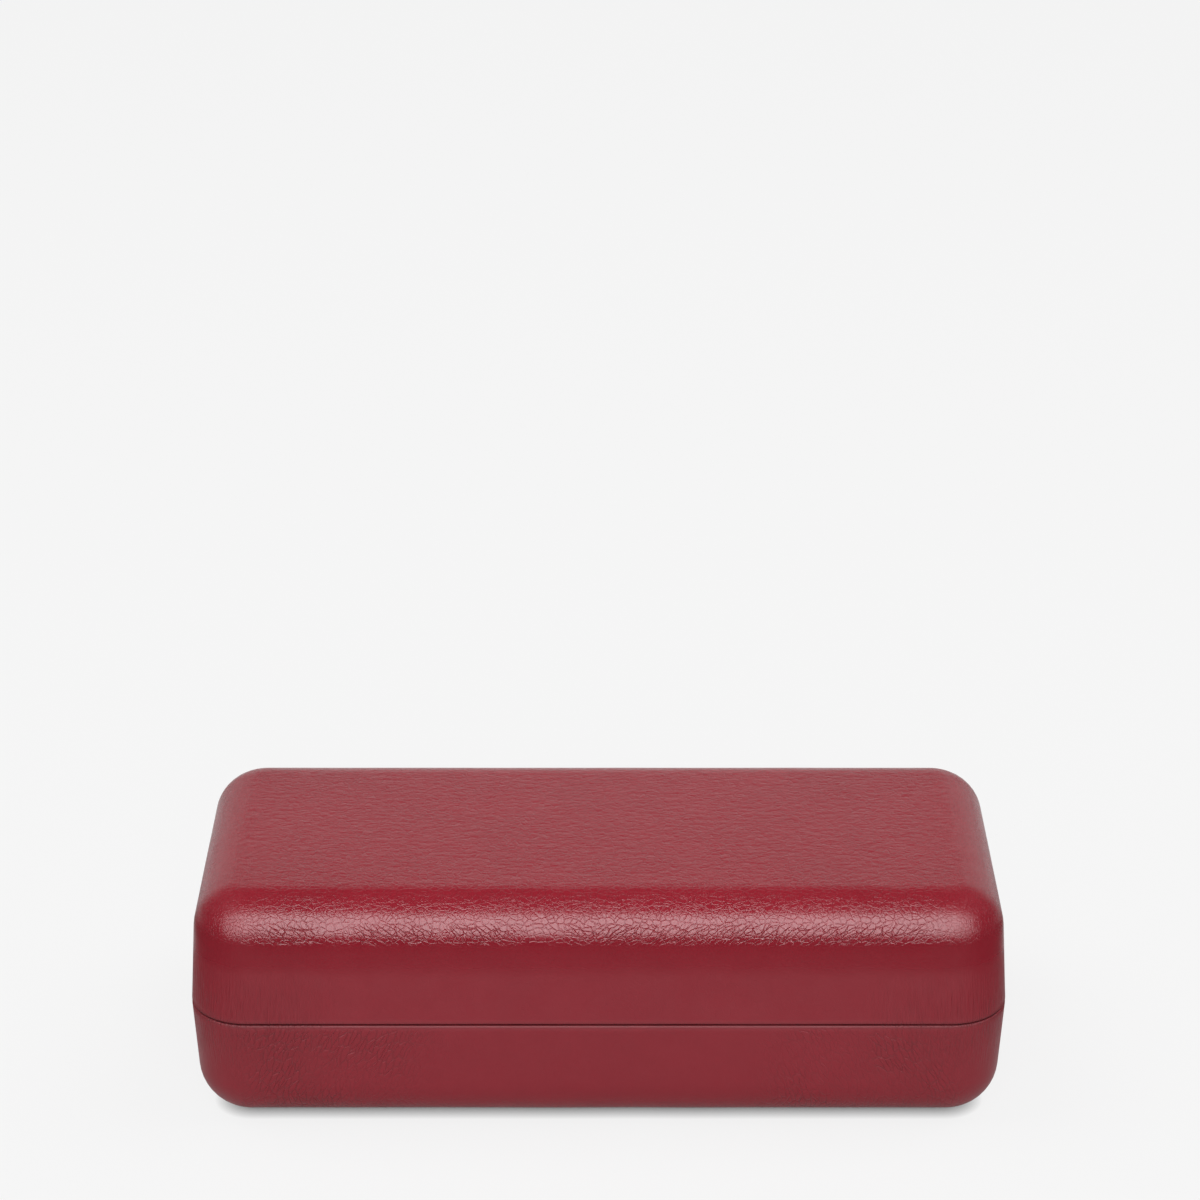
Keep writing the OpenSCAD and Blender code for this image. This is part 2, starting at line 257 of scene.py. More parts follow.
def half_rings(layer, flat, edge_r, depth, top, crown=0, edge_steps=EDGE_STEPS):
    """Rings from the middle of the flat, round the edge and up the wall to the height top."""
    centre_height = flat + edge_r
    centre_inset = wall_inset(layer + edge_r, centre_height, depth)
    rings = [(centre_inset, flat + crown * (1 - share ** 2) ** 2, share) for share in FLAT_SHARES[:-1]]
    rings += arc_rings(centre_inset, centre_height, edge_r, -90, -math.degrees(DRAFT), edge_steps)
    foot = rings[-1][1]
    steps = max(1, round((top - foot) / WALL_STEP))
    for i in range(1, steps + 1):
        height = foot + (top - foot) * i / steps
        rings.append((wall_inset(layer, height, depth), height, 1))
    return rings


def in_lid(rings):
    return [(inset, CASE_TOP - height, share) for inset, height, share in rings]


# %% [markdown]
# ## The leather
# One piece of leather covers each shell, folds over its rim with a tight radius and is glued down
# inside as a narrow band. The section goes all the way round that sheet, outside and inside, so the
# rim has its real thickness and the fold catches a thin line of light.

# %% Model the two leather skins
FOLD_STEPS = 5
BAND_STEPS = 4
HIDDEN_EDGE_STEPS = 6


def leather_rings(edge_r, depth):
    fold = depth - RIM_GAP / 2 - FOLD_R
    shell_top = depth - RIM_GAP / 2 - LEATHER
    band_foot = shell_top - TURN_IN_HEIGHT
    outside = half_rings(0, 0, edge_r, depth, fold)
    outside.pop()
    over = arc_rings(wall_inset(0, fold, depth) + FOLD_R, fold, FOLD_R, 0, 90, FOLD_STEPS)
    over += arc_rings(wall_inset(TURN_IN, fold, depth) - FOLD_R, fold, FOLD_R, 90, 180, FOLD_STEPS)
    band = []
    for i in range(1, BAND_STEPS + 1):
        height = fold + (band_foot - fold) * i / BAND_STEPS
        band.append((wall_inset(TURN_IN, height, depth), height, 1))
    corners = ((SHELL_IN, band_foot), (SHELL_IN, shell_top), (LEATHER, shell_top))
    under = [(wall_inset(layer, height, depth), height, 1) for layer, height in corners]
    inside_r = edge_r - LEATHER
    inside = half_rings(LEATHER, LEATHER, inside_r, depth, shell_top, edge_steps=HIDDEN_EDGE_STEPS)
    inside.pop()
    return outside + over + band + under + inside[::-1]


base_skin = sweep("base_leather_skin", leather_rings(BASE_EDGE_R, BASE_DEPTH))
lid_skin = sweep("lid_leather_skin", in_lid(leather_rings(LID_EDGE_R, LID_DEPTH)))
for skin in (base_skin, lid_skin):
    print(skin.name, "faces:", len(skin.data.polygons))

# %% [markdown]
# ## Leather is never quite flat
# Stretched leather swells and sinks by a few hundredths of a millimetre over a centimetre or two, and
# where it is folded in round a corner it gathers into small pleats. Both are moves of the points, and
# the underside, which stands on the table, swells only upwards.

# %% Give the skins their swell and their pleats
SWELL = 0.035 * MM
SWELL_SPAN = 17 * MM
PLEAT = 0.13 * MM
PLEAT_PITCH = 2.6 * MM
PLEAT_RISE = 2 * MM
PLEAT_SPREAD = 2
FACING_IN = 0.7


def corner_share(co):
    """1 at the middle of a rounded corner, 0 on the straight sides."""
    x = max(0, abs(co.x) - (HALF_LENGTH - CORNER_R))
    y = max(0, abs(co.y) - (HALF_DEPTH - CORNER_R))
    return min(x, y) / max(x, y, 1e-9)


def swell_and_pleat(skin, rim):
    mesh = skin.data
    moves = []
    for v in mesh.vertices:
        move = v.normal * SWELL * noise.noise(v.co / SWELL_SPAN)
        off_rim = abs(v.co.z - rim)
        facing_in = v.normal.dot(inward(v.co)) > FACING_IN
        if facing_in and off_rim < TURN_IN_HEIGHT + LEATHER and corner_share(v.co) > 0:
            around = (abs(v.co.x) - abs(v.co.y)) / PLEAT_PITCH
            fade = min(1, off_rim / PLEAT_RISE) * min(1, PLEAT_SPREAD * corner_share(v.co))
            move = v.normal * PLEAT * fade * (1 + math.sin(2 * math.pi * around))
        moves.append(move)
    for v, move in zip(mesh.vertices, moves):
        v.co += move
        v.co.z = max(v.co.z, 0)
    mesh.update()
    print(skin.name, "largest move, mm:", round(max(m.length for m in moves) / MM, 3))


swell_and_pleat(base_skin, PARTING)
swell_and_pleat(lid_skin, PARTING)

# %% [markdown]
# ## Room for the hinge
# At the back the leather is cut away round the barrel of the hinge and isn't turned in behind it. The
# cutters are bevelled boxes taken off with a Boolean modifier, and the frame gives their place.

# %% Cut the skins at the hinge
BARREL_ROOM = 0.35 * MM
CUT_PAST = 1 * MM
CUT_OUT = 2 * MM
BAND_ROOM = 2 * MM
BAND_BITE = 0.6 * MM
NOTCH_EDGE_R = 0.8 * MM
BAND_EDGE_R = 0.3 * MM
CUT_STEPS = 5
pin_low, pin_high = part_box("hinge_pin")
leaf_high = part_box("base_hinge_leaf")[1]
HINGE_Z = (pin_low[2] + pin_high[2]) / 2
HINGE_Y = (pin_low[1] + pin_high[1]) / 2
BARREL_R = leaf_high[1] - HINGE_Y
NOTCH_HALF = pin_high[0] + BARREL_ROOM


def bevelled_box(name, low, high, radius):
    bpy.ops.object.select_all(action="DESELECT")
    bpy.ops.mesh.primitive_cube_add(size=1, location=[(a + b) / 2 for a, b in zip(low, high)])
    box = bpy.context.object
    box.name = name
    box.scale = [b - a for a, b in zip(low, high)]
    bpy.ops.object.transform_apply(location=True, rotation=True, scale=True)
    bevel = box.modifiers.new("round", "BEVEL")
    bevel.width = radius
    bevel.segments = CUT_STEPS
    bpy.ops.object.modifier_apply(modifier=bevel.name)
    return box


def cut(piece, cutter):
    only(piece)
    boolean = piece.modifiers.new("cut", "BOOLEAN")
    boolean.operation = "DIFFERENCE"
    boolean.solver = "EXACT"
    boolean.object = cutter
    bpy.ops.object.modifier_apply(modifier=boolean.name)


notch_v = BARREL_R + BARREL_ROOM
notch = bevelled_box(
    "notch",
    (-NOTCH_HALF, HALF_DEPTH - TURN_IN - CUT_PAST, HINGE_Z - notch_v),
    (NOTCH_HALF, HALF_DEPTH + CUT_OUT, HINGE_Z + notch_v),
    NOTCH_EDGE_R,
)
band_v = TURN_IN_HEIGHT + BAND_ROOM
band = bevelled_box(
    "band",
    (-NOTCH_HALF - BAND_ROOM, HALF_DEPTH - TURN_IN - CUT_PAST, HINGE_Z - band_v),
    (NOTCH_HALF + BAND_ROOM, HALF_DEPTH - SHELL_IN + BAND_BITE, HINGE_Z + band_v),
    BAND_EDGE_R,
)
for skin in (base_skin, lid_skin):
    for cutter in (notch, band):
        cut(skin, cutter)
    print(skin.name, "faces after the cut:", len(skin.data.polygons))
for cutter in (notch, band):
    bpy.data.objects.remove(cutter)

# %% [markdown]
# ## The suede linings
# Each tray is lined with brushed suede over thin foam, so its floor is slightly crowned and its edges
# are soft. The suede rolls over the tray's lip, and in the lid it covers the tray's flange.

# %% Model the two linings
ROLL = 0.28 * MM
ROLL_STEPS = 4
LINING_EDGE_STEPS = 8
CROWN = 0.7 * MM
INSIDE = TRAY_IN + TRAY + LINING
LINING_IN = TRAY_IN + TRAY
TRAY_FLAT = SHELL_IN + PAD
TIGHT = 0.02 * MM


def lining_rings(edge_r, depth, rim, flange, wrap_in):
    tray_edge = edge_r - TRAY_FLAT
    floor = TRAY_FLAT + TRAY + LINING
    top = rim + ROLL
    inside_r = tray_edge - TRAY - LINING
    inside = half_rings(INSIDE, floor, inside_r, depth, rim, crown=CROWN, edge_steps=LINING_EDGE_STEPS)
    over = arc_rings(wall_inset(INSIDE, rim, depth) - ROLL, rim, ROLL, 180, 90, ROLL_STEPS)
    over += arc_rings(wall_inset(wrap_in, rim, depth) + ROLL, rim, ROLL, 90, 0, ROLL_STEPS)
    layers = [(wrap_in, flange), (TRAY_IN - TIGHT, flange), (TRAY_IN - TIGHT, rim + TIGHT)]
    if flange > rim - TRAY:
        layers = [(wrap_in, rim + TIGHT)]
    back = [(wall_inset(layer, height, depth), height, 1) for layer, height in layers]
    under = half_rings(LINING_IN, floor - LINING, tray_edge - TRAY, depth, rim + TIGHT,
                       edge_steps=HIDDEN_EDGE_STEPS)
    return inside + over[1:] + back + under[::-1]


base_lining = sweep(
    "base_suede",
    lining_rings(BASE_EDGE_R, BASE_DEPTH, BASE_DEPTH + LIP_HEIGHT,
                 BASE_DEPTH - RIM_GAP / 2 + TIGHT, TRAY_IN - ROLL),
)
lid_lining = sweep(
    "lid_suede",
    in_lid(lining_rings(LID_EDGE_R, LID_DEPTH, LID_DEPTH - LID_RECESS,
                        LID_DEPTH - LID_RECESS, TURN_IN + 2 * TIGHT)),
)
for lining in (base_lining, lid_lining):
    print(lining.name, "faces:", len(lining.data.polygons))

# %% [markdown]
# ## The foam pads
# A sheet of foam lies between each shell and its tray. It is hidden, but it is what makes the floor
# of the case soft, so it is modelled as a cut sheet whose edges are pressed in a little.

# %% Model the two pads
PRESSED = 0.4 * MM
CUT_EDGE = 0.1 * MM


def pad_rings(edge_r, depth):
    low = SHELL_IN + TIGHT
    high = SHELL_IN + PAD - TIGHT
    edge = wall_inset(edge_r, edge_r, depth)
    shares = FLAT_SHARES[:-1]
    bottom = [(edge + PRESSED, low, share) for share in shares]
    side = [(edge + PRESSED, low, 1), (edge + CUT_EDGE, low + PRESSED, 1), (edge, (low + high) / 2, 1),
            (edge + CUT_EDGE, high - PRESSED, 1), (edge + PRESSED, high - CUT_EDGE, 1)]
    top = [(edge + PRESSED, high, share) for share in shares[::-1]]
    return bottom + side + top


base_pad = sweep("base_foam", pad_rings(BASE_EDGE_R, BASE_DEPTH))
lid_pad = sweep("lid_foam", in_lid(pad_rings(LID_EDGE_R, LID_DEPTH)))
print("pad thickness, mm:", round((PAD - 2 * TIGHT) / MM, 2))

# %% [markdown]
# ## The springs
# Two torsion springs sit on the hinge pin. Each has a straight leg hooked into the base's leaf, nine
# turns, and a leg hooked into the lid's leaf. A path is given the points of that wire and a round
# bevel, and becomes a mesh. The coil winds up as the lid opens.

# %% Wind the springs
WIRE_R = 0.35 * MM
COIL_R = 1.5 * MM
TURNS = 9
PITCH = 1.15 * MM
KNUCKLE_END = 11 * MM
KNUCKLE_GAP = 13 * MM
COIL_START = KNUCKLE_END + (KNUCKLE_GAP - TURNS * PITCH) / 2
LEG_ROOM = 0.05 * MM
LEG_IN = SHELL_IN + WIRE_R + LEG_ROOM
LEAF = 0.7 * MM
LEAF_IN = SHELL_IN - LEAF
HOOK_DROP = 9 * MM
HOOK_R = 0.7 * MM
HOOK_END = LEAF_IN + 0.1 * MM
HOOK_ANGLES = range(15, 91, 15)
LEG_BENDS = (
    (LEG_IN, 4.5 * MM),
    (LEG_IN - 0.12 * MM, 3.8 * MM),
    (COIL_R + 0.3 * MM, 1.5 * MM),
    (COIL_R + 0.06 * MM, 0.7 * MM),
)
TURN_STEPS = 24
WIRE_ROUNDING = 3
WIRE_SHARP = 50


def leg_point(side, x, u, v):
    """A point of a leg: u in from the back of the case and v away from the pin, down for the base."""
    drop = v * math.cos(DRAFT) - u * math.sin(DRAFT)
    y = HINGE_Y - u * math.cos(DRAFT) - v * math.sin(DRAFT)
    return Vector((x, y, HINGE_Z - side * drop))


def leg(side, x):
    points = [leg_point(side, x, u, HOOK_DROP) for u in (HOOK_END, LEG_IN - HOOK_R)]
    for degrees in HOOK_ANGLES:
        a = math.radians(degrees)
        u = LEG_IN - HOOK_R * (1 - math.sin(a))
        points.append(leg_point(side, x, u, HOOK_DROP - HOOK_R * (1 - math.cos(a))))
    for u, v in LEG_BENDS:
        points.append(leg_point(side, x, u, v))
    return points


def spring(name, mirrored):
    end = COIL_START + TURNS * PITCH
    coil = []
    for i in range(TURNS * TURN_STEPS + 1):
        a = math.pi - 2 * math.pi * i / TURN_STEPS
        x = COIL_START + PITCH * i / TURN_STEPS
        coil.append(Vector((x, HINGE_Y + COIL_R * math.cos(a), HINGE_Z + COIL_R * math.sin(a))))
    points = leg(1, COIL_START) + coil + leg(-1, end)[::-1]
    bpy.ops.object.select_all(action="DESELECT")
    bpy.ops.curve.primitive_nurbs_path_add()
    wire = bpy.context.object
    wire.name = name
    wire.data.splines.clear()
    path = wire.data.splines.new("POLY")
    path.points.add(len(points) - 1)
    for spot, point in zip(path.points, points):
        spot.co = (-point.x if mirrored else point.x, point.y, point.z, 1)
    wire.data.bevel_depth = WIRE_R
    wire.data.bevel_resolution = WIRE_ROUNDING
    wire.data.use_fill_caps = True
    bpy.ops.object.convert(target="MESH")
    bpy.ops.object.mode_set(mode="EDIT")
    bpy.ops.mesh.select_all(action="SELECT")
    bpy.ops.mesh.normals_make_consistent(inside=False)
    bpy.ops.object.mode_set(mode="OBJECT")
    bpy.ops.object.shade_smooth_by_angle(angle=math.radians(WIRE_SHARP))
    return wire


right_spring = spring("right_torsion_spring", False)
left_spring = spring("left_torsion_spring", True)
print("spring points:", len(right_spring.data.vertices))

# %% [markdown]
# ## Smooth shading
# The skins and linings are smooth, but the cut edges of the leather and the corners of its section
# stay crisp. Shading by angle keeps both.

# %% Smooth the modelled pieces
LEATHER_SHARP = 35
SOFT_SHARP = 50
leathers = [(piece, LEATHER_SHARP) for piece in (base_skin, lid_skin)]
soft_ones = [(piece, SOFT_SHARP) for piece in (base_lining, lid_lining, base_pad, lid_pad)]
for piece, degrees in leathers + soft_ones:
    only(piece)
    bpy.ops.object.shade_smooth_by_angle(angle=math.radians(degrees))

# %% [markdown]
# ## Finishes
# A finish is a small network of nodes. The helpers below add a node, wire it up and set its values,
# so that each finish reads from top to bottom as: where, which pattern, how strong.

# %% Helpers for building a finish


class Finish:
    """A material under construction, with its Principled shader."""

    def __init__(self, name, **values):
        self.material = bpy.data.materials.new(name)
        self.material.use_nodes = True
        self.tree = self.material.node_tree
        self.shader = self.tree.nodes["Principled BSDF"]
        for key, value in values.items():
            self.shader.inputs[key.replace("_", " ")].default_value = value
        self.place = self.add("ShaderNodeTexCoord").outputs["Object"]

    def add(self, kind, inputs=(), **settings):
        node = self.tree.nodes.new(kind)
        for key, value in settings.items():
            setattr(node, key, value)
        for socket, value in dict(inputs).items():
            if isinstance(value, bpy.types.NodeSocket):
                self.tree.links.new(value, node.inputs[socket])
            else:
                node.inputs[socket].default_value = value
        return node

    def link(self, output, name):
        self.tree.links.new(output, self.shader.inputs[name])

    def math(self, operation, a, b=0.0, clamp=False):
        return self.add("ShaderNodeMath", {0: a, 1: b}, operation=operation, use_clamp=clamp).outputs[0]

    def chain(self, operation, values):
        result = values[0]
        for value in values[1:]:
            result = self.math(operation, result, value)
        return result

    def product(self, *values):
        return self.chain("MULTIPLY", values)

    def total(self, *values):
        return self.chain("ADD", values)

    def ramp(self, value, low, high, to_low=0.0, to_high=1.0):
        """A smooth fade from to_low to to_high while the value goes from low to high."""
        inputs = {"Value": value, "From Min": low, "From Max": high, "To Min": to_low, "To Max": to_high}
        return self.add("ShaderNodeMapRange", inputs, interpolation_type="SMOOTHSTEP").outputs["Result"]

    def noise(self, place, span, detail=3.0, roughness=0.5):
        inputs = {"Vector": place, "Scale": 1 / span, "Detail": detail, "Roughness": roughness}
        return self.add("ShaderNodeTexNoise", inputs).outputs["Fac"]

    def cracks(self, place, span, dimensions="3D"):
        """Distance to the nearest crack between grown cells."""
        inputs = {"Vector": place, "Scale": 1 / span}
        kind = {"feature": "DISTANCE_TO_EDGE", "voronoi_dimensions": dimensions}
        return self.add("ShaderNodeTexVoronoi", inputs, **kind).outputs["Distance"]

    def stretched(self, place, stretch, turn=(0, 0, 0)):
        inputs = {"Vector": place, "Scale": stretch, "Rotation": turn}
        return self.add("ShaderNodeMapping", inputs, vector_type="TEXTURE").outputs[0]

    def blend(self, share, a, b):
        inputs = {0: share, 6: a, 7: b}
        return self.add("ShaderNodeMix", inputs, data_type="RGBA").outputs[2]

    def bump(self, height, depth, strength=1.0):
        inputs = {"Height": height, "Distance": depth, "Strength": strength}
        return self.add("ShaderNodeBump", inputs).outputs["Normal"]


# %% [markdown]
# ## Red leather
# The leather has a satin top coat over a pebble grain: flat cells of about a millimetre, with narrow
# cracks between them, where the colour is darkened as painted shade. The cells are drawn as a Voronoi
# pattern on the flat sheet that the skin was cut from, a little pushed about by noise, and a second,
# finer pattern splits them. The grain is open where the leather bends over the round edge, and calm on
# the walls and towards the ends, where it is stretched tight. The flat top has soft ripples instead.
#
# Handling leaves creases: slanted ones under the round edge, crossed ones above it and steep ones on
# the base near the ends. Each is a Voronoi pattern of long thin cells, of which only the seams count,
# and the seams are darkened as painted shade. At the corners of the walls the leather is stretched
# into fine upright lines, a noise drawn out along the height, whose valleys are painted darker as
# shade. The corners of the ends are painted darker as shade, and a painted shadow runs along the gap.
# The walls and the worn rims are more matt than the edge, which hands keep polished.
#
# The numbers come first, in three groups: patterns, fades and strengths. A pattern gives the size of its
# cells or lines. A fade says where it starts and ends, then how much there is before it and after it.

# %% Name the patterns, the fades and the strengths of the leather
LEATHER_RED = (0.262, 0.01, 0.021, 1)
# The red of painted shade in cracks, creases, streak valleys, end corners and along the gap, and of the
# random darker clouds.
LEATHER_SHADE_AND_CLOUD = (0.17, 0.0055, 0.012, 1)

# Patterns. A crease has the length and thickness of its cells, and the share of them that is a seam.
GRAIN = 1.2 * MM
GRAIN_LENGTHENED = (1.15, 1, 1)
GRAIN_CRACK = 0.13
FINE_GRAIN = 0.75 * MM
FINE_CRACK = 0.12
UNEVEN = 1.3 * MM
PORE = 0.22 * MM
RIPPLE = (2.2 * MM, 1.3 * MM, 1)
STREAK = (0.45 * MM, 90 * MM, 5 * MM)
CREASE_SLANT = math.radians(38)
STEEP_SLANT = math.radians(-60)
SLANTED = (3.2 * MM, 1.0 * MM, 0.1)
STEEP = (3.2 * MM, 0.9 * MM, 0.15)
CROSSED = (2.4 * MM, 1.1 * MM, 0.08)
SHEET_WANDER = (2.4 * MM, 1.1 * MM)
WALL_WANDER = (5 * MM, 1.2 * MM)
SIDE_STEP = 0.5
PATCH = 12 * MM
HANDLING = 15 * MM
CLOUD = 14 * MM
SATIN_PATCH = 5 * MM

# Fades by height above the table
GRAIN_OPENS = (40.6 * MM, 43.2 * MM, 0.15, 1.0)
RIPPLES_START = (CASE_TOP - 0.4 * MM, CASE_TOP - 0.05 * MM, 0.0, 1.2)
SLANTED_START = (41.3 * MM, 42.7 * MM, 0.0, 1.0)
SLANTED_STOP = (44 * MM, 46.5 * MM, 1.0, 0.0)
CROSSED_START = (46 * MM, 48 * MM, 0.0, 0.35)
CROSSED_STOP = (49.3 * MM, 49.8 * MM, 1.0, 0.2)
STEEP_STOP = (PARTING - 2 * MM, PARTING, 1.0, 0.0)
MATT_WALL = (34 * MM, 39 * MM, 0.22, 0.0)

# Fades by the distance from the parting line
STRETCH_STOPS = (1 * MM, 15 * MM, 1.0, 0.0)
# A painted shadow on the leather along the gap, darkest at the fold.
GAP_SHADOW = (0.4 * MM, 1.1 * MM, 0.6, 0.0)
WORN_RIM = (0.6 * MM, 1.6 * MM, 0.2, 0.0)

# Fades along the case, across it, and round its corners
ENDS_CALM = (62 * MM, 75 * MM, 1.0, 0.0)
STEEP_INNER = (26 * MM, 44 * MM, 0.0, 1.0)
STEEP_OUTER = (68 * MM, 78 * MM, 1.0, 0.0)
CORNER_ACROSS = (10 * MM, 26 * MM, 0.2, 1.0)
CORNER_ROUND = (12 * MM, 30 * MM, 0.0, 1.0)

# Fades by the value of a noise, or by how open the grain is
PATCHES = (0.35, 0.65, 0.7, 1.0)
HANDLED = (0.36, 0.56, 0.0, 1.0)
CLOUDS = (0.3, 0.7, 0.0, 0.15)
SATIN = (0.3, 0.7, 0.16, 0.2)
GRAIN_HEIGHT = (0.0, 1.0, 0.16, 0.4)
FINE_HEIGHT = (0.0, 1.0, 0.22, 0.1)
MATT_ENDS = (0.0, 1.0, 0.07, 0.0)

# Strengths in the relief, where a height of 1 is GRAIN_DEPTH
GRAIN_DEPTH = 0.12 * MM
UNEVEN_HEIGHT = 0.1
PORE_HEIGHT = 0.025
STREAK_HEIGHT = 3.0
CREASE_HEIGHT = -0.85
STRETCH_CALMS = 0.7
STEEP_SHARE = 0.8
LEAST_HANDLED = 0.5

# Strengths in the painted shade of the colour and in the gloss
GRAIN_CRACK_SHARE = 0.6
FINE_CRACK_SHARE = 0.4
CREASE_CRACK_SHARE = 0.8
CRACK_SHADE = 0.35
STEEP_SHADE = 0.25
# Painted shade in the valleys of the upright streaks, below the middle of their noise.
STREAK_MIDDLE = 0.54
STREAK_SHADE = 1.2
# Painted shade at the corners of the ends.
CORNER_SHADE = 0.15
CRACK_MATT = 0.05

# %% Make the leather


def wandering(f, place, span, reach):
    """Places pushed about by soft noise, so that lines drawn on them wander."""
    push = f.add("ShaderNodeTexNoise", {"Vector": place, "Scale": 1 / span, "Detail": 1.0}).outputs["Color"]
    push = f.add("ShaderNodeVectorMath", {0: push, 1: (0.5, 0.5, 0.5)}, operation="SUBTRACT").outputs[0]
    push = f.add("ShaderNodeVectorMath", {0: push, "Scale": reach}, operation="SCALE").outputs[0]
    return f.add("ShaderNodeVectorMath", {0: place, 1: push}, operation="ADD").outputs[0]


def folded(f, sheet):
    """The four quarters of the sheet laid over each other, with the two ends set apart."""
    axes = f.add("ShaderNodeSeparateXYZ", {0: sheet})
    side = f.product(f.math("SIGN", axes.outputs["X"]), SIDE_STEP)
    across = f.total(f.math("ABSOLUTE", axes.outputs["X"]), side)
    down = f.math("ABSOLUTE", axes.outputs["Y"])
    return f.add("ShaderNodeCombineXYZ", {"X": across, "Y": down}).outputs[0]


class Places:
    """Where a point of the leather lies: on its flat sheet, above the table and round the case."""

    def __init__(self, f):
        axes = f.add("ShaderNodeSeparateXYZ", {0: f.place})
        self.x = axes.outputs["X"]
        self.height = axes.outputs["Z"]
        self.off_rim = f.math("ABSOLUTE", f.math("SUBTRACT", self.height, PARTING))
        self.out_x = f.math("ABSOLUTE", axes.outputs["X"])
        self.out_y = f.math("ABSOLUTE", axes.outputs["Y"])
        self.around = f.math("SUBTRACT", self.out_x, self.out_y)
        self.sheet = wandering(f, f.add("ShaderNodeUVMap", uv_map="sheet").outputs[0], *SHEET_WANDER)
        self.folded = folded(f, self.sheet)


def leather_grain(f, sheet, open_share):
    """The height of the grain, from 0 in a crack to 1, and a crack mask for painted shade and matt."""
    coarse = f.ramp(f.cracks(f.stretched(sheet, GRAIN_LENGTHENED), GRAIN, "2D"), 0.0, GRAIN_CRACK)
    fine = f.ramp(f.cracks(sheet, FINE_GRAIN, "2D"), 0.0, FINE_CRACK)
    uneven = f.noise(sheet, UNEVEN, detail=1.0)
    height = f.total(
        f.product(coarse, f.ramp(open_share, *GRAIN_HEIGHT)),
        f.product(fine, f.ramp(open_share, *FINE_HEIGHT)),
        f.product(uneven, UNEVEN_HEIGHT),
    )
    cells = f.total(f.product(coarse, GRAIN_CRACK_SHARE), f.product(fine, FINE_CRACK_SHARE))
    return height, f.math("SUBTRACT", 1.0, cells)


def seams(f, place, slant, long, thin, width):
    """The seams between long thin cells that lie aslant on the sheet, 1 in the middle of a seam."""
    edges = f.cracks(f.stretched(place, (long, thin, 1), (0, 0, slant)), 1.0, "2D")
    return f.ramp(edges, 0.0, width, 1.0, 0.0)


def leather_creases(f, at, open_share):
    """All creases, 1 in the middle of a seam, and the steep ones of the base by themselves."""
    handled = f.ramp(f.noise(f.place, HANDLING), *HANDLED)
    below_edge = f.product(f.ramp(at.height, *SLANTED_START), f.ramp(at.height, *SLANTED_STOP))
    below_edge = f.product(below_edge, open_share, handled)
    creases = f.product(seams(f, at.folded, -CREASE_SLANT, *SLANTED), below_edge)

    on_base = f.product(f.ramp(at.height, *STEEP_STOP), f.ramp(at.out_x, *STEEP_INNER))
    on_base = f.product(on_base, f.ramp(at.out_x, *STEEP_OUTER), f.math("MAXIMUM", handled, LEAST_HANDLED))
    wall = {"X": at.around, "Y": at.height, "Z": f.math("SIGN", at.x)}
    wall = wandering(f, f.add("ShaderNodeCombineXYZ", wall).outputs[0], *WALL_WANDER)
    steep = f.product(seams(f, wall, STEEP_SLANT, *STEEP), on_base)
    creases = f.math("MAXIMUM", creases, f.product(steep, STEEP_SHARE))

    crossed = f.product(f.ramp(at.height, *CROSSED_START), open_share, f.ramp(at.height, *CROSSED_STOP))
    for slant in (CREASE_SLANT, -CREASE_SLANT):
        crossing = f.product(seams(f, at.sheet, slant, *CROSSED), crossed)
        creases = f.math("MAXIMUM", creases, crossing)
    return creases, steep


